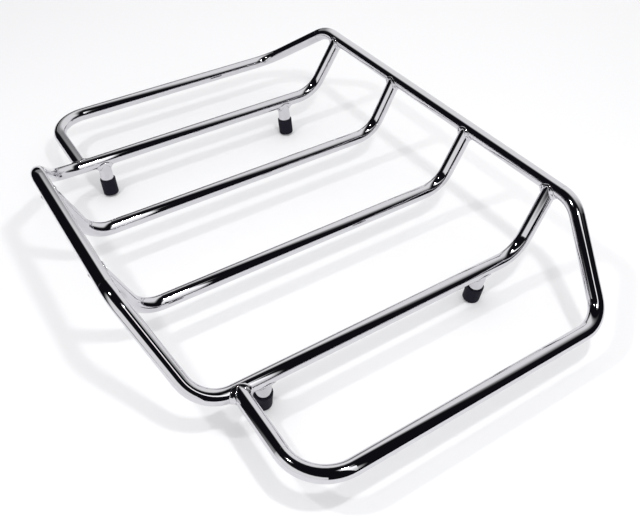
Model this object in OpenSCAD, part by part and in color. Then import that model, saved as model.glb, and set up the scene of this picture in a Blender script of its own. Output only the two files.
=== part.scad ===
// Luggage rack for the lid of a motorcycle top case: bent and welded tube on four posts.
// X runs across the rack and the left side is -X. +Y points to the raised front rail, +Z is up.
// The origin is on the ground, under the middle of the rack.

/* [Tube] */
// Outside diameter of the bent tube
tube_d = 12.7; // [11:0.1:14]
// Wall of the bent tube
tube_wall = 1.6; // [1:0.1:2.4]
// How far the tube's skin draws in along a bend
bend_draw = 0.05; // [0.03:0.01:0.2]

/* [Outer rail] */
// Distance between the centrelines of the two side rails
rail_w = 512; // [470:1:560]
// Distance between the centrelines of the raised front and rear rails
rack_depth = 350; // [320:1:400]
// Width of the raised front rail between the points where its ends turn down
front_w = 362; // [356:1:390]
// Height of the raised front rail over the side rails
front_rise = 56; // [45:1:75]
// How far the raised front rail stands ahead of the points where the side rails turn up
side_set = 33; // [24:1:45]
// Distance from the raised rear rail forward to the cross legs that end the outer rail
leg_inset = 52; // [46:1:60]
// Bend radius at the corners of the outer rail, on the centreline
rail_bend_r = 34; // [26:1:36]
// Bend radius where the side rails turn up to the front, on the centreline
kick_bend_r = 27; // [22:1:34]

/* [Hoop] */
// Distance between the centrelines of the hoop's two long sides
hoop_w = 323; // [310:1:330]
// Width of the raised rear rail between the points where its ends turn down
rear_w = 173; // [150:1:190]
// Height of the raised rear rail over the hoop's long sides
rear_rise = 59; // [48:1:75]
// How far the raised rear rail stands behind the points where the hoop turns up
rear_set = 24; // [16:1:34]
// How far the raised front rail stands ahead of the points where the hoop turns up
hoop_front_set = 32; // [24:1:45]
// How far each front end of the hoop leans towards the middle on its way up
hoop_front_lean = 4; // [0:0.5:6]
// Bend radius of the hoop, on the centreline
hoop_bend_r = 31; // [24:1:34]

/* [Inner bars] */
// Distance between the centrelines of the two inner bars
inner_w = 109; // [90:1:130]
// Height of the inner bars over the hoop's long sides
inner_lift = 3; // [0:0.5:6]
// How far the raised front rail stands ahead of the points where the inner bars turn up
inner_front_set = 27.5; // [20:0.5:40]
// Bend radius of the inner bars, on the centreline
inner_bend_r = 28; // [22:1:34]

/* [Posts] */
// Diameter of a post
post_d = 12.5; // [10:0.1:13]
// Distance from the hoop's centreline to the underside of a foot, along the post
post_reach = 36.5; // [32:0.5:50]
// Angle by which each post leans, its lower end towards the middle
post_lean = 9; // [0:0.5:12]
// Distance from the raised front rail back to the front posts
post_inset = 70; // [64:1:90]
// Distance between the front and the rear posts
post_gap = 207; // [150:1:208]
// Diameter of the tapped hole's wall in the lower end of a post
core_d = 5; // [4:0.1:6.8]
// Full depth of the tapped hole
core_depth = 14; // [8:0.5:18]
// Chamfer on a post's lower edge and on the mouth of its hole
edge_chamfer = 0.6; // [0.3:0.1:1]

/* [Feet] */
// Wall of the rubber foot round the post
foot_wall = 1.2; // [0.8:0.1:2]
// Length of a foot
foot_len = 16.5; // [12:0.5:20]
// Thickness of the foot's floor under the post
foot_floor = 2.5; // [2:0.1:4]
// Diameter of the screw's hole through the floor
foot_hole_d = 8; // [7.8:0.1:10]
// Rounding of the foot's lower edge
foot_round = 1.5; // [0.6:0.1:1.9]
// Clearance between a foot and its post
foot_clearance = 0.05; // [0.02:0.01:0.1]

/* [Welds] */
// Leg of a weld bead along each of the two tubes that it joins
weld_leg = 4; // [3:0.1:4.5]
// Height of the bead over the flanks, where the two tubes run level
weld_cap = 0.5; // [0.3:0.05:0.8]
// Gap between the coped end of a tube and the tube that it meets
root_gap = 0.1; // [0.05:0.01:0.2]

/* [Hidden] */
$fn = 96;

tube_r = tube_d / 2;
bore_r = tube_r - tube_wall;
cope_r = tube_r + root_gap;
post_r = post_d / 2;
foot_bore_r = post_r + foot_clearance;
foot_r = foot_bore_r + foot_wall;
left = -1;
right = 1;
chrome = "silver";
rubber = "#26262b";

// How far a bend reaches into the straights beside it, so that they are one piece.
bend_lap = 0.1;
// Steps round a weld bead, and how deep its hidden side reaches into the tubes before they are cut away.
bead_steps = 36;
bead_bite = 0.8;

// The rack rests on the outer lower edge of each leaning foot.
base_z = (post_reach - foot_round) * cos(post_lean) + (foot_r - foot_round) * sin(post_lean) + foot_round;
front_y = rack_depth / 2;
rear_y = -rack_depth / 2;
front_z = base_z + front_rise;
rear_z = base_z + rear_rise;
inner_z = base_z + inner_lift;
leg_y = rear_y + leg_inset;
rear_turn_y = rear_y + rear_set;
front_post_y = front_y - post_inset;
rear_post_y = front_post_y - post_gap;

// Corner points of each bent tube's centreline, and the bend radius at each inner one.
outer_path = [
  [-hoop_w / 2, leg_y, base_z],
  [-rail_w / 2, leg_y, base_z],
  [-rail_w / 2, front_y - side_set, base_z],
  [-front_w / 2, front_y, front_z],
  [front_w / 2, front_y, front_z],
  [rail_w / 2, front_y - side_set, base_z],
  [rail_w / 2, leg_y, base_z],
  [hoop_w / 2, leg_y, base_z]
];
outer_radii = [rail_bend_r, kick_bend_r, rail_bend_r, rail_bend_r, kick_bend_r, rail_bend_r];

hoop_path = [
  [-hoop_w / 2 + hoop_front_lean, front_y, front_z],
  [-hoop_w / 2, front_y - hoop_front_set, base_z],
  [-hoop_w / 2, rear_turn_y, base_z],
  [-rear_w / 2, rear_y, rear_z],
  [rear_w / 2, rear_y, rear_z],
  [hoop_w / 2, rear_turn_y, base_z],
  [hoop_w / 2, front_y - hoop_front_set, base_z],
  [hoop_w / 2 - hoop_front_lean, front_y, front_z]
];
hoop_radii = [for (i = [1 : 6]) hoop_bend_r];

function inner_path(side) = [
  [side * inner_w / 2, front_y, front_z],
  [side * inner_w / 2, front_y - inner_front_set, inner_z],
  [side * inner_w / 2, rear_turn_y, inner_z],
  [side * inner_w / 2, rear_y, rear_z]
];
inner_radii = [inner_bend_r, inner_bend_r];

// A post's axis starts on the hoop's centreline and runs down and inwards.
function post_top(side, y) = [side * hoop_w / 2, y, base_z];

function unit(v) = v / norm(v);
function turn_of(a, b) = acos(max(-1, min(1, unit(a) * unit(b))));
function heading(path, i) = unit(path[i + 1] - path[i]);

// Angle of the bend at corner i, to a thousandth of a degree.
function bend_angle(path, i) = round(1000 * turn_of(heading(path, i - 1), heading(path, i))) / 1000;

// Length that the bend at corner i takes from each straight beside it. The two ends have no bend.
function setback(path, radii, i) =
  i == 0 || i == len(path) - 1 ? 0 : radii[i - 1] * tan(bend_angle(path, i) / 2);

function straight_length(path, radii, i) =
  norm(path[i + 1] - path[i]) - setback(path, radii, i) - setback(path, radii, i + 1);

// Direction from the tube towards the inside of the bend at corner i.
function bend_inside(path, i) =
  let (before = heading(path, i - 1), after = heading(path, i))
  unit(after - (after * before) * before);

// Turn about the tube's own axis that brings the plane of bend i - 1 into the plane of bend i.
function roll_between(path, i) =
  let (
    axis = heading(path, i - 1),
    normal = unit(cross(heading(path, i - 2), axis)),
    last = unit(cross(normal, axis)),
    next = bend_inside(path, i)
  )
  atan2(cross(last, next) * axis, last * next);

// Puts children with their +Z along z_dir and their +X as near x_dir as that allows.
module aim(at, z_dir, x_dir) {
  z = unit(z_dir);
  x = unit(x_dir - (x_dir * z) * z);
  y = cross(z, x);
  multmatrix([
    [x[0], y[0], z[0], at[0]],
    [x[1], y[1], z[1], at[1]],
    [x[2], y[2], z[2], at[2]],
    [0, 0, 0, 1]
  ]) children();
}

// A bend that starts at the origin along +Z and turns towards +X. It reaches a little way into the straights.
module elbow(radius, bend_r, angle) {
  lap_angle = bend_lap / bend_r * 180 / PI;
  translate([bend_r, 0, 0])
    rotate([90, 0, 180])
      rotate([0, 0, -lap_angle])
        rotate_extrude(angle = angle + 2 * lap_angle)
          translate([bend_r, 0])
            circle(r = radius - bend_draw);
}

// The bar from corner i on. Each straight and bend starts where the one before it ends.
module run_on(path, radii, radius, i) {
  length = straight_length(path, radii, i);
  cylinder(r = radius, h = length);
  if (i < len(path) - 2) {
    angle = bend_angle(path, i + 1);
    bend_r = radii[i];
    roll = i == 0 ? 0 : roll_between(path, i + 1);
    translate([0, 0, length]) rotate([0, 0, roll]) {
      elbow(radius, bend_r, angle);
      translate([bend_r, 0, 0])
        rotate([0, angle, 0])
          translate([-bend_r, 0, 0])
            run_on(path, radii, radius, i + 1);
    }
  }
}

module bent_bar(path, radii, radius) {
  aim(path[0], path[1] - path[0], bend_inside(path, 1)) run_on(path, radii, radius, 0);
}

module bent_tube(path, radii) {
  difference() {
    bent_bar(path, radii, tube_r);
    bent_bar(path, radii, bore_r);
  }
}

// The hoop's long sides, on which the posts and the legs of the outer rail end.
module side_cope(side, radius) {
  translate([side * hoop_w / 2, 0, base_z])
    rotate([90, 0, 0])
      cylinder(r = radius, h = rack_depth, center = true);
}

module outer_rail() {
  color(chrome) difference() {
    bent_tube(outer_path, outer_radii);
    side_cope(left, cope_r);
    side_cope(right, cope_r);
  }
}

// The rail along which the hoop and the inner bars end at the front.
module front_cope(radius) {
  translate([0, front_y, front_z]) rotate([0, 90, 0]) cylinder(r = radius, h = hoop_w + 2 * tube_d, center = true);
}

module rear_cope(radius) {
  translate([0, rear_y, rear_z]) rotate([0, 90, 0]) cylinder(r = radius, h = inner_w + 2 * tube_d, center = true);
}

module main_hoop() {
  color(chrome) difference() {
    bent_tube(hoop_path, hoop_radii);
    front_cope(cope_r);
  }
}

module inner_bar(side) {
  color(chrome) difference() {
    bent_tube(inner_path(side), inner_radii);
    front_cope(cope_r);
    rear_cope(cope_r);
  }
}

// A post that leans inwards: its axis starts on the hoop's centreline.
module along_post(side, y) {
  aim(post_top(side, y), [-side * sin(post_lean), 0, -cos(post_lean)], [0, 1, 0]) children();
}

module post(side, y) {
  length = post_reach - foot_floor;
  core_r = core_d / 2;
  color(chrome) difference() {
    along_post(side, y) difference() {
      union() {
        cylinder(r = post_r, h = length - edge_chamfer);
        translate([0, 0, length - edge_chamfer])
          cylinder(r1 = post_r, r2 = post_r - edge_chamfer, h = edge_chamfer);
      }
      translate([0, 0, length - core_depth]) cylinder(r = core_r, h = core_depth);
      translate([0, 0, length - core_depth - core_r * tan(31)])
        cylinder(r1 = 0, r2 = core_r, h = core_r * tan(31));
      translate([0, 0, length - edge_chamfer])
        cylinder(r1 = core_r, r2 = core_r + edge_chamfer, h = edge_chamfer);
    }
    side_cope(side, cope_r);
  }
}

// Half of a foot's section, with the post's axis as its left edge and the floor at the far end.
module foot_section() {
  difference() {
    union() {
      translate([0, post_reach - foot_len]) square([foot_r, foot_len - foot_round]);
      translate([0, post_reach - foot_round]) square([foot_r - foot_round, foot_round]);
      translate([foot_r - foot_round, post_reach - foot_round]) circle(r = foot_round);
    }
    translate([0, post_reach - foot_len]) square([foot_bore_r, foot_len - foot_floor]);
    translate([0, post_reach - foot_floor]) square([foot_hole_d / 2, foot_floor]);
  }
}

module foot(side, y) {
  color(rubber) along_post(side, y) rotate_extrude() foot_section();
}

// Weld bead round the end of a tube that meets another one, as a fillet that thins out over the flanks.
// at is on the main tube's axis, out points along the branch and along is the main tube's direction.
function bead_section(at, out, along, branch_r, turn) =
  let (
    a = unit(along - (along * out) * out),
    b = cross(out, a),
    c = cos(turn),
    s = sin(turn),
    e = c * a + s * b,
    lean = along * out,
    drop = branch_r * (e * along) * lean,
    side_off = branch_r * branch_r * (1 - pow(e * along, 2)) - tube_r * tube_r,
    level = 1 - lean * lean,
    height = (drop + sqrt(max(0, drop * drop - level * side_off))) / level,
    root = at + branch_r * e + height * out,
    radial = unit((root - at) - ((root - at) * along) * along),
    down = cross(along, radial) * (cross(along, radial) * out > 0 ? -1 : 1),
    run = c * along + abs(s) * down,
    leg = weld_leg * (abs(c) + 0.4 * abs(s)),
    top = root + leg * out,
    foot = root + leg * run,
    pull = root + 0.15 * weld_leg * abs(c) * (out + run) + 2 * weld_cap * abs(s) * e
  )
  [
    top - bead_bite * e,
    for (t = [0.25, 0.5, 0.75]) (1 - t) * (1 - t) * top + 2 * t * (1 - t) * pull + t * t * foot,
    foot - bead_bite * radial,
    root - bead_bite * (e + radial)
  ];

module bead(at, out, along, branch_r) {
  rings = [for (k = [0 : bead_steps - 1]) bead_section(at, unit(out), along, branch_r, 360 * (k + 0.5) / bead_steps)];
  count = len(rings[0]);
  points = [for (ring = rings, p = ring) p];
  sides = [
    for (k = [0 : bead_steps - 1], j = [0 : count - 1])
      let (n = (k + 1) % bead_steps, i = (j + 1) % count)
      each [
        [k * count + j, n * count + j, k * count + i],
        [k * count + i, n * count + j, n * count + i]
      ]
  ];
  ear = sqrt(cope_r * cope_r - branch_r * branch_r);
  difference() {
    polyhedron(points, sides);
    aim(at, out, along) translate([0, 0, ear]) cylinder(r = branch_r, h = 3 * tube_d);
    children();
  }
}

module weld_front(at, out) {
  color(chrome) bead(at, out, [1, 0, 0], tube_r) front_cope(tube_r);
}

module weld_hoop_front(side) {
  end = side == left ? 0 : len(hoop_path) - 1;
  next = side == left ? 1 : end - 1;
  weld_front(hoop_path[end], hoop_path[next] - hoop_path[end]);
}

module weld_bar_front(side) {
  path = inner_path(side);
  weld_front(path[0], path[1] - path[0]);
}

module weld_bar_rear(side) {
  path = inner_path(side);
  color(chrome) bead(path[3], path[2] - path[3], [1, 0, 0], tube_r) rear_cope(tube_r);
}

// The bead round a leg of the outer rail reaches past the start of the hoop's rear corner.
module weld_leg_end(side) {
  corner = side == left ? 2 : 5;
  near_corner = [for (step = [-1 : 1]) hoop_path[corner - side * step]];
  color(chrome) bead([side * hoop_w / 2, leg_y, base_z], [side, 0, 0], [0, 1, 0], tube_r)
    bent_bar(near_corner, [hoop_bend_r], tube_r);
}

module weld_post(side, y) {
  color(chrome)
    bead(post_top(side, y), [-side * sin(post_lean), 0, -cos(post_lean)], [0, 1, 0], post_r)
      side_cope(side, tube_r);
}

outer_rail();
main_hoop();
inner_bar(left);  // inner_bar_left
inner_bar(right);  // inner_bar_right
post(left, front_post_y);  // post_front_left
post(right, front_post_y);  // post_front_right
post(left, rear_post_y);  // post_rear_left
post(right, rear_post_y);  // post_rear_right
foot(left, front_post_y);  // foot_front_left
foot(right, front_post_y);  // foot_front_right
foot(left, rear_post_y);  // foot_rear_left
foot(right, rear_post_y);  // foot_rear_right
weld_hoop_front(left);  // weld_hoop_front_left
weld_hoop_front(right);  // weld_hoop_front_right
weld_bar_front(left);  // weld_bar_front_left
weld_bar_front(right);  // weld_bar_front_right
weld_bar_rear(left);  // weld_bar_rear_left
weld_bar_rear(right);  // weld_bar_rear_right
weld_leg_end(left);  // weld_leg_left
weld_leg_end(right);  // weld_leg_right
weld_post(left, front_post_y);  // weld_post_front_left
weld_post(right, front_post_y);  // weld_post_front_right
weld_post(left, rear_post_y);  // weld_post_rear_left
weld_post(right, rear_post_y);  // weld_post_rear_right
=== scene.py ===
# %% [markdown]
# # A chromed luggage rack
#
# The real object is a rack of bent steel tube that is screwed to the lid of a motorcycle's
# top case. Two long tubes make its frame: the outer rail and the hoop inside it, on which the
# rail's two legs end. Two bars run across the middle, and four short posts carry the hoop. All
# of this is welded together and then chrome plated in one piece. A rubber cup goes over the
# end of each post.
#
# The shapes of the tubes, posts and cups come from the CAD part. This lesson gives them
# their finishes, models the weld beads anew, and sets up the floor, the lights and the camera.

import math

import bpy
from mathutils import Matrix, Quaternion, Vector


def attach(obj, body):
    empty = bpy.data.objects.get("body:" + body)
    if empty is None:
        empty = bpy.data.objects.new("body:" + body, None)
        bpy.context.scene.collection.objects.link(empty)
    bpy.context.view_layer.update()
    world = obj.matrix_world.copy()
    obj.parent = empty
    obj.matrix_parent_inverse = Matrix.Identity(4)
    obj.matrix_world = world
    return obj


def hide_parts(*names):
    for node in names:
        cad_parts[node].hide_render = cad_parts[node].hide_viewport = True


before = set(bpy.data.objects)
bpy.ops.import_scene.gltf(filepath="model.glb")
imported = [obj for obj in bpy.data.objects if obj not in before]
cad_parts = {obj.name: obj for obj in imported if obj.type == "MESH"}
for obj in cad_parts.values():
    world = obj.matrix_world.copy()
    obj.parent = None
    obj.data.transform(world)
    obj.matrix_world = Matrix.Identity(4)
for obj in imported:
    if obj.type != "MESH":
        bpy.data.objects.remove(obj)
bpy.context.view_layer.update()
MM = 0.001

# %% [markdown]
# ## Helpers for materials
#
# A colour picker shows sRGB, but a shader calculates with linear light. One function turns
# the hex value of a colour into linear numbers, so that every colour below can be checked
# against a picture.
#
# The second one starts a material with an empty node tree, and the third one adds a node,
# sets its fields and joins it to the nodes before it. Without them each material would be a
# long list of assignments. Some nodes give several inputs one name, and those inputs are
# reached by their number.

# %% Colours, materials and nodes


def colour(hex_code):
    """An sRGB hex colour as the linear RGBA that a shader works with."""
    parts = [int(hex_code[i : i + 2], 16) / 255 for i in (1, 3, 5)]
    linear = [c / 12.92 if c <= 0.04045 else ((c + 0.055) / 1.055) ** 2.4 for c in parts]
    return (*linear, 1.0)


def blank_material(name):
    """A material with no nodes in it yet."""
    material = bpy.data.materials.new(name)
    material.use_nodes = True
    material.node_tree.nodes.clear()
    return material


def add_node(tree, kind, settings=None, links=None):
    """Adds one node. A setting is an input's value or a property, a link joins an output to an input."""
    node = tree.nodes.new(kind)
    for name, value in (settings or {}).items():
        if isinstance(name, int) or name in node.inputs:
            node.inputs[name].default_value = value
        else:
            setattr(node, name, value)
    for name, output in (links or {}).items():
        tree.links.new(output, node.inputs[name])
    return node


print("white is", colour("#FFFFFF"), "and mid grey is", colour("#808080"))

# %% [markdown]
# ## Chrome plate
#
# The tubes are polished, nickel plated, and flashed with a very thin layer of chromium.
# That layer is a mirror that returns a bit more than half of the light, with a faint blue
# violet tint. Polishing rounds off the fine scratches but leaves the long, shallow waves of
# the drawn tube, so a straight edge in the reflection isn't perfectly straight.
#
# Bands of black and white could be painted on the tubes as a pattern, but they would stay in
# place when the camera moves. A metal that is smooth enough to mirror the room is used here
# instead, and the bands come from what stands around the rack.
#
# The waves are a noise with a feature size of 14 mm, which only bends the normal. The thin
# film of dust and wiping marks is a second noise, 45 mm in size, that varies the roughness.

# %% Chrome plate on drawn tube
FILM_SIZE = 45 * MM


def plated(name, wave_size, wave_depth, roughness_from, roughness_to):
    """Bright chromium plate over a surface with waves of a given size and depth."""
    material = blank_material(name)
    tree = material.node_tree
    place = add_node(tree, "ShaderNodeTexCoord").outputs["Object"]
    waves = add_node(tree, "ShaderNodeTexNoise", {"Scale": 1 / wave_size, "Detail": 1.0}, {"Vector": place})
    bump = add_node(
        tree, "ShaderNodeBump", {"Strength": 1.0, "Distance": wave_depth}, {"Height": waves.outputs["Fac"]}
    )
    film = add_node(tree, "ShaderNodeTexNoise", {"Scale": 1 / FILM_SIZE, "Detail": 3.0}, {"Vector": place})
    roughness = add_node(
        tree,
        "ShaderNodeMapRange",
        {"From Min": 0.3, "From Max": 0.7, "To Min": roughness_from, "To Max": roughness_to},
        {"Value": film.outputs["Fac"]},
    )
    shader = add_node(
        tree,
        "ShaderNodeBsdfPrincipled",
        {"Base Color": colour("#D3D2D6"), "Metallic": 1.0},
        {"Roughness": roughness.outputs["Result"], "Normal": bump.outputs["Normal"]},
    )
    add_node(tree, "ShaderNodeOutputMaterial", links={"Surface": shader.outputs["BSDF"]})
    return material


chrome = plated(
    "chrome plate on drawn steel tube",
    wave_size=14 * MM,
    wave_depth=0.002 * MM,
    roughness_from=0.01,
    roughness_to=0.03,
)
print("made", chrome.name)

# %% [markdown]
# ## Chrome plate on the welds
#
# The plate also covers the weld beads, but a bead isn't polished as flat as a tube. It
# keeps small ripples of about a millimetre and a half, which break up the reflection.
#
# The ripples could be modelled as rings round each bead. They are only hundredths of a
# millimetre high, so the same plating with smaller and deeper waves does it without a face
# more. The plate there is a little duller too, because no polishing wheel reaches the crotch.

# %% Chrome plate on welds
bead_chrome = plated(
    "chrome plate on weld bead",
    wave_size=1.6 * MM,
    wave_depth=0.02 * MM,
    roughness_from=0.06,
    roughness_to=0.12,
)
print("made", bead_chrome.name)

# %% [markdown]
# ## Moulded rubber
#
# The cups are moulded of black EPDM rubber. It is a very dark grey with a breath of blue
# rather than black, and it has hardly any shine.
#
# Its skin has a fine grain from the mould. The grain could be cut into the mesh, but it
# would take millions of faces, so a noise bends the normal. The real grain is about a tenth
# of a millimetre and too fine for any view here: it is drawn as coarse as 0.4 mm.

# %% Moulded rubber
GRAIN_SIZE = 0.4 * MM
GRAIN_DEPTH = 0.05 * MM

rubber = blank_material("moulded black EPDM rubber")
tree = rubber.node_tree
place = add_node(tree, "ShaderNodeTexCoord").outputs["Object"]
grain = add_node(tree, "ShaderNodeTexNoise", {"Scale": 1 / GRAIN_SIZE, "Detail": 2.0}, {"Vector": place})
bump = add_node(
    tree, "ShaderNodeBump", {"Strength": 0.6, "Distance": GRAIN_DEPTH}, {"Height": grain.outputs["Fac"]}
)
shader = add_node(
    tree,
    "ShaderNodeBsdfPrincipled",
    {"Base Color": colour("#1D1B25"), "Roughness": 0.5, "Specular IOR Level": 0.04},
    {"Normal": bump.outputs["Normal"]},
)
add_node(tree, "ShaderNodeOutputMaterial", links={"Surface": shader.outputs["BSDF"]})
print("made", rubber.name)

# %% [markdown]
# ## Dress the CAD nodes
#
# The frame goes into the plating bath as one welded piece, so all its steel gets the same
# finish, and the cups are pushed on last. Each CAD node has one material slot. Filling that
# slot by the node's name leaves the CAD meshes as they are.

# %% Dress the CAD nodes
for name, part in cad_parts.items():
    part.material_slots[0].material = rubber if name.startswith("foot") else chrome
print("dressed", len(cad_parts), "CAD nodes")

# %% [markdown]
# ## Weld beads
#
# A tube that ends on another one is welded all the way round. The bead is a full fillet in
# the crotch and thins out over the flanks, and the plating runs over it from tube to tube.
#
# A bead could be swept anew along the curve on which the two tubes meet. The CAD bead has
# that curve already, but also flat facets, which a mirror shows at once. So each one is
# copied here, swollen by a hair so that its edge sinks into both tubes, rebuilt from small
# cubes, and smoothed. That rounds its crown the way molten metal does and keeps its place
# and size.

# %% Melt the beads smooth
DOUBLES_GAP = 0.01 * MM
SWELLING = 0.12 * MM
CUBE_SIZE = 0.25 * MM


def melted(name):
    """A smooth copy of a CAD weld bead."""
    bpy.ops.object.select_all(action="DESELECT")
    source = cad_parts[name]
    source.select_set(True)
    bpy.context.view_layer.objects.active = source
    bpy.ops.object.duplicate()
    bead = bpy.context.active_object
    bead.name = name.replace("weld", "bead")
    bpy.ops.mesh.customdata_custom_splitnormals_clear()
    bpy.ops.object.mode_set(mode="EDIT")
    bpy.ops.mesh.select_all(action="SELECT")
    bpy.ops.mesh.remove_doubles(threshold=DOUBLES_GAP)
    bpy.ops.object.mode_set(mode="OBJECT")
    swell = bead.modifiers.new("swell", "DISPLACE")
    swell.mid_level = 0
    swell.strength = SWELLING
    cubes = bead.modifiers.new("cubes", "REMESH")
    cubes.mode = "VOXEL"
    cubes.voxel_size = CUBE_SIZE
    relax = bead.modifiers.new("relax", "SMOOTH")
    relax.factor = 0.5
    relax.iterations = 8
    for modifier in (swell, cubes, relax):
        bpy.ops.object.modifier_apply(modifier=modifier.name)
    bpy.ops.object.shade_smooth()
    bead.data.materials.clear()
    bead.data.materials.append(bead_chrome)
    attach(bead, "root")
    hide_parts(name)
    return bead


for name in [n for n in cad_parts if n.startswith("weld")]:
    bead = melted(name)
    print(bead.name, len(bead.data.polygons), "faces")

# %% [markdown]
# ## Table
#
# The rack stands on a table with a matt white board on it. A photographer often bends the
# board up behind the object, to have no horizon. Here it lies flat, because the world behind
# it is made as white as the board.
#
# The board ends just outside the picture, to the right and in front. From there on the chrome
# sees only the dark room, which gives each tube its black line below the horizon. That is why
# the plane is placed by those two edges.

# %% Table
TABLE_SIDE = 3.0
TABLE_RIGHT_EDGE = 0.43
TABLE_FRONT_EDGE = -0.32

bpy.ops.object.select_all(action="DESELECT")
bpy.ops.mesh.primitive_plane_add(size=1, location=(0, 0, 0))
floor = bpy.context.active_object
floor.name = "white_table"
bpy.ops.object.mode_set(mode="EDIT")
bpy.ops.transform.resize(value=(TABLE_SIDE, TABLE_SIDE, 1))
bpy.ops.transform.translate(value=(TABLE_RIGHT_EDGE - TABLE_SIDE / 2, TABLE_FRONT_EDGE + TABLE_SIDE / 2, 0))
bpy.ops.object.mode_set(mode="OBJECT")

table_top = blank_material("matt white board")
tree = table_top.node_tree
shader = add_node(tree, "ShaderNodeBsdfPrincipled", {"Base Color": colour("#F4F4F5"), "Roughness": 0.9})
add_node(tree, "ShaderNodeOutputMaterial", links={"Surface": shader.outputs["BSDF"]})
floor.data.materials.append(table_top)
print("the table is", floor.dimensions.x, "m wide")

# %% [markdown]
# ## Lamps
#
# Chrome has no look of its own: it shows the room. The photo's room is dark and holds two
# small lamps, two white boards and a white sheet. The lamps come first. They give two faint
# shadows to each tube and round sparks to the bends.
#
# They could be spot lamps, but those are points that a mirror hardly shows. An area lamp in
# the shape of a disc has a real size, so it makes both the soft shadow and the spark. The
# lamps' places were found from the shadows, and their strengths from how much darker the
# floor is in each shadow.

# %% Lamps
LAMP_WIDTH = 0.06
RACK_MIDDLE = Vector((0, 0, 0.05))


def lamp(name, place, watts):
    """A round lamp, aimed at the rack, that the camera doesn't see but the chrome does."""
    light = bpy.data.lights.new(name, "AREA")
    light.shape = "DISK"
    light.size = LAMP_WIDTH
    light.energy = watts
    holder = bpy.data.objects.new(name, light)
    bpy.context.scene.collection.objects.link(holder)
    holder.location = place
    holder.rotation_mode = "QUATERNION"
    holder.rotation_quaternion = (RACK_MIDDLE - Vector(place)).to_track_quat("-Z", "Y")
    holder.visible_camera = False
    return holder


near_lamp = lamp("near lamp", (0.36, 0.03, 0.72), 1.3)
rear_lamp = lamp("rear lamp", (-0.06, -0.50, 0.95), 1.6)
for light in (near_lamp, rear_lamp):
    print(light.name, "hangs", round(light.location.z, 2), "m above the table")

# %% [markdown]
# ## Lit surfaces with soft edges
#
# All other bright things in the room shine with soft edges: a board is lit in its middle and
# fades, and a lamp's glass has a halo. An area lamp can't do that, because it is equally bright
# up to a hard edge.
#
# So they are plain meshes that emit light and turn see-through where they fade. Each fade is
# written as a measure of the place on the mesh, the values at which it begins and is complete,
# and the cover that is left where it begins. A mesh with several fades multiplies them.

# %% A glowing material that fades


def across(direction):
    """Measures how far a place lies in a direction."""
    return {"operation": "DOT_PRODUCT", 1: direction}


def gauze(name, strength, fades):
    """A glowing material that is see-through where its fades leave no cover."""
    material = blank_material(name)
    tree = material.node_tree
    place = add_node(tree, "ShaderNodeTexCoord").outputs["Object"]
    cover = None
    for measure, begins, complete, least in fades:
        reach = add_node(tree, "ShaderNodeVectorMath", measure, {0: place})
        ramp = add_node(
            tree,
            "ShaderNodeMapRange",
            {"interpolation_type": "SMOOTHSTEP", "From Min": begins, "From Max": complete, "To Min": least},
            {"Value": reach.outputs["Value"]},
        )
        faded = ramp.outputs["Result"]
        if cover is None:
            cover = faded
        else:
            both = add_node(tree, "ShaderNodeMath", {"operation": "MULTIPLY"}, {0: cover, 1: faded})
            cover = both.outputs["Value"]
    gap = add_node(tree, "ShaderNodeBsdfTransparent").outputs["BSDF"]
    shine = add_node(tree, "ShaderNodeEmission", {"Strength": strength}).outputs["Emission"]
    mix = add_node(tree, "ShaderNodeMixShader", links={0: cover, 1: gap, 2: shine})
    add_node(tree, "ShaderNodeOutputMaterial", links={"Surface": mix.outputs["Shader"]})
    return material


print("a direction as a measure:", across((1, 0, 0)))

# %% [markdown]
# ## Lamp reflectors
#
# Round each lamp's bulb sits a reflector bowl, which is bright in its middle and fades towards
# its rim. A bowl could be turned as a deep shell, but the chrome only sees its mouth, so a
# disc behind each lamp is enough. Without it, the lamp's sharp round edge would show as jagged
# sparks along the tubes.

# %% Lamp reflectors
BOWL_RADIUS = 0.1
BEHIND_LAMP = 1.02

bowl_glow = gauze("lit reflector bowl", 2.5, [({"operation": "LENGTH"}, BOWL_RADIUS, 0.0, 0.0)])
for light in (near_lamp, rear_lamp):
    bpy.ops.object.select_all(action="DESELECT")
    bpy.ops.mesh.primitive_circle_add(
        vertices=48, radius=BOWL_RADIUS, fill_type="NGON", location=light.location * BEHIND_LAMP
    )
    bowl = bpy.context.active_object
    bowl.name = "reflector of the " + light.name
    bowl.rotation_mode = "QUATERNION"
    bowl.rotation_quaternion = light.rotation_quaternion
    bowl.data.materials.append(bowl_glow)
    bowl.visible_camera = False
    print(bowl.name, "is", round(bowl.dimensions.x, 2), "m wide")

# %% [markdown]
# ## Two white boards
#
# One board stands behind the camera, on the rack's rear side. The steep tubes show it as a
# bright stripe between two black ones. The other stands upright on the right. The straight
# bars show its edge as a white wedge that starts at their rear bends and runs out to a point.
#
# Both are planes that are turned and placed in edit mode, so their fades can be given in the
# room's own metres. Where each edge is was read from where its reflection ends on the tubes.

# %% Two white boards


def upright(name, width, height, turn, place):
    """An upright rectangle that the camera doesn't see, turned about Z from facing the rear."""
    bpy.ops.object.select_all(action="DESELECT")
    bpy.ops.mesh.primitive_plane_add(size=1, location=(0, 0, 0))
    board = bpy.context.active_object
    board.name = name
    bpy.ops.object.mode_set(mode="EDIT")
    bpy.ops.transform.resize(value=(width, height, 1))
    bpy.ops.transform.rotate(value=math.pi / 2, orient_axis="X", center_override=(0, 0, 0))
    bpy.ops.transform.rotate(value=turn, orient_axis="Z", center_override=(0, 0, 0))
    bpy.ops.transform.translate(value=place)
    bpy.ops.object.mode_set(mode="OBJECT")
    board.visible_camera = False
    return board


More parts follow.
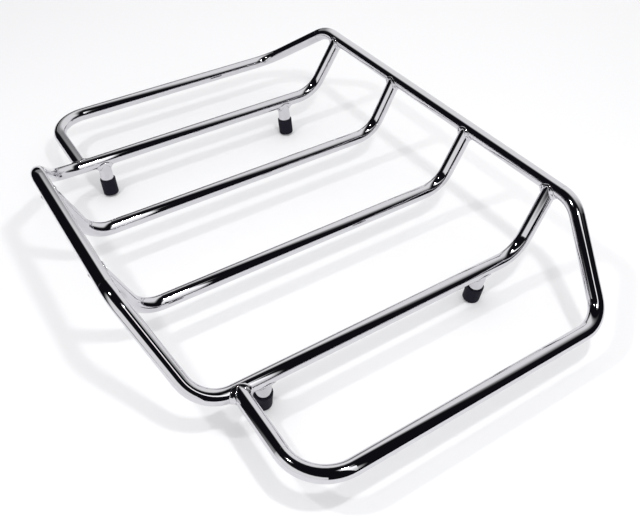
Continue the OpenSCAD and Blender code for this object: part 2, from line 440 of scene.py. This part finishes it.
left_edge = (across((1, 0, 0)), -0.18, 0.06, 0.0)
top_edge = (across((0, 0, 1)), 0.44, 0.34, 0.0)
rear_board = upright("rear_board", 1.6, 0.56, 0, (0.5, -0.66, 0.16))
rear_board.data.materials.append(gauze("lit rear board", 1.0, [left_edge, top_edge]))

leaning_far_edge = (across((0, 1, -0.15)), 0.035, 0.01, 0.0)
dim_foot = (across((0, 0, 1)), 0.1, 0.6, 0.5)
right_board = upright("right_board", 0.27, 1.4, math.pi / 2, (0.63, 0.125, 0.81))
right_board.data.materials.append(gauze("lit right board", 1.5, [leaning_far_edge, dim_foot]))

for board in (rear_board, right_board):
    print(board.name, "is", [round(v, 2) for v in board.dimensions], "m")

# %% [markdown]
# ## White sheet
#
# A sheet of thin white cloth hangs over the far half of the rack and down to the floor behind
# it. It gives the broad pale bands on the tubes. It is lit best in the middle: from there it
# fades softly towards its near edge and its two ends.
#
# Cloth could be simulated, but its folds would only show as ripples in the chrome, and the
# photo has none. A plane does it: its far edge is extruded down to the floor, and a wide bevel
# rounds the fold between the two, as a stretched cloth does over a rail.
#
# The cloth hangs at a slant to the rack. The turn has a minus sign, because transform.rotate
# turns the other way in a Blender without a window.

# %% White sheet
SHEET_LENGTH = 3.2
SHEET_DEPTH = 1.2
SHEET_HEIGHT = 0.6
SHEET_MIDDLE = (-0.1, 0.5)
SHEET_FAR_EDGE = SHEET_MIDDLE[1] + SHEET_DEPTH / 2
SHEET_TURN = math.radians(24)
EDGE_TOLERANCE = 0.01


def choose_edges(thing, test):
    """Selects the edges whose two ends both pass a test of place."""
    vertices = thing.data.vertices
    for face in thing.data.polygons:
        face.select = False
    for vertex in vertices:
        vertex.select = test(vertex.co)
    for edge in thing.data.edges:
        edge.select = all(test(vertices[v].co) for v in edge.vertices)


bpy.ops.object.select_all(action="DESELECT")
bpy.ops.mesh.primitive_plane_add(size=1, location=(0, 0, 0))
sheet = bpy.context.active_object
sheet.name = "white_sheet"
bpy.ops.object.mode_set(mode="EDIT")
bpy.ops.mesh.select_mode(type="EDGE")
bpy.ops.transform.resize(value=(SHEET_LENGTH, SHEET_DEPTH, 1))
bpy.ops.transform.translate(value=(*SHEET_MIDDLE, SHEET_HEIGHT))
bpy.ops.object.mode_set(mode="OBJECT")
choose_edges(sheet, lambda co: abs(co.y - SHEET_FAR_EDGE) < EDGE_TOLERANCE)
bpy.ops.object.mode_set(mode="EDIT")
bpy.ops.mesh.extrude_region_move(TRANSFORM_OT_translate={"value": (0, 0.3, -SHEET_HEIGHT)})
bpy.ops.object.mode_set(mode="OBJECT")
choose_edges(sheet, lambda co: abs(co.y - SHEET_FAR_EDGE) < EDGE_TOLERANCE)
bpy.ops.object.mode_set(mode="EDIT")
bpy.ops.mesh.bevel(offset=0.4, segments=10)
bpy.ops.mesh.select_all(action="SELECT")
bpy.ops.transform.rotate(value=-SHEET_TURN, orient_axis="Z", center_override=(0, 0, 0))
bpy.ops.transform.translate(value=(0, 0.2, 0))
bpy.ops.object.mode_set(mode="OBJECT")
bpy.ops.object.shade_smooth()
print("the sheet has", len(sheet.data.polygons), "faces and is", [round(v, 2) for v in sheet.dimensions], "m")

# %% [markdown]
# The light on the cloth could be painted on it. Three fades do the same and can be matched to
# the tubes one by one. The near edge is slanting, so it is measured in a slanting direction.
# The left end keeps some light, and the right end goes dark.

# %% Light on the sheet
near_edge = (across((-0.37, 0.93, 0)), 0.12, 0.31, 0.0)
left_end = (across((1, 0.6, 0)), -1.2, -0.5, 0.3)
right_end = (across((1, 0, 0)), 0.62, -0.02, 0.0)
cloth = gauze("lit white cloth", 1.0, [left_end, right_end, near_edge])
sheet.data.materials.append(cloth)
sheet.visible_camera = False
print(cloth.name, "has", len(cloth.node_tree.nodes), "nodes")

# %% [markdown]
# ## Room
#
# One grey world would light the floor, the chrome and the picture's background alike. This
# one gives three answers: the camera sees white behind the table's edge, the floor gets soft
# light from everywhere, and the chrome sees the dark of the room.
#
# A Mix node keeps a pair of inputs for each kind of value. Numbers 6 and 7 are its colours.

# %% World
world = bpy.data.worlds.new("room")
bpy.context.scene.world = world
world.use_nodes = True
tree = world.node_tree
tree.nodes.clear()
ray = add_node(tree, "ShaderNodeLightPath")
seen = add_node(
    tree,
    "ShaderNodeMix",
    {"data_type": "RGBA", 6: colour("#EAEAEB"), 7: colour("#131317")},
    {0: ray.outputs["Is Glossy Ray"]},
)
shown = add_node(
    tree,
    "ShaderNodeMix",
    {"data_type": "RGBA", 7: colour("#FAFAFA")},
    {0: ray.outputs["Is Camera Ray"], 6: seen.outputs[2]},
)
background = add_node(tree, "ShaderNodeBackground", {"Strength": 1.0}, {"Color": shown.outputs[2]})
add_node(tree, "ShaderNodeOutputWorld", links={"Surface": background.outputs["Background"]})
bpy.context.scene.view_settings.view_transform = "Standard"
print("the room has", len(tree.nodes), "nodes")

# %% [markdown]
# ## Camera
#
# The camera stands where the photographer's stood. It could be moved by eye until the rack
# looks right, but the two ends of a tube rarely fit at once that way. Its place, aim, roll and
# lens were solved together from the corners of the tubes in the photo.

# %% Camera
lens = bpy.data.cameras.new("camera")
lens.sensor_width = 36
lens.lens = 41.28
camera = bpy.data.objects.new("camera", lens)
bpy.context.scene.collection.objects.link(camera)
camera.location = (0.46213, -0.24689, 0.45459)
aim = Vector((0.08863, -0.00704, 0.045))
roll = math.radians(-0.117)
facing = (aim - camera.location).to_track_quat("-Z", "Y")
camera.rotation_mode = "QUATERNION"
camera.rotation_quaternion = facing @ Quaternion((0, 0, 1), roll)
bpy.context.scene.camera = camera
print("camera is", round((aim - camera.location).length, 3), "m from its aim")
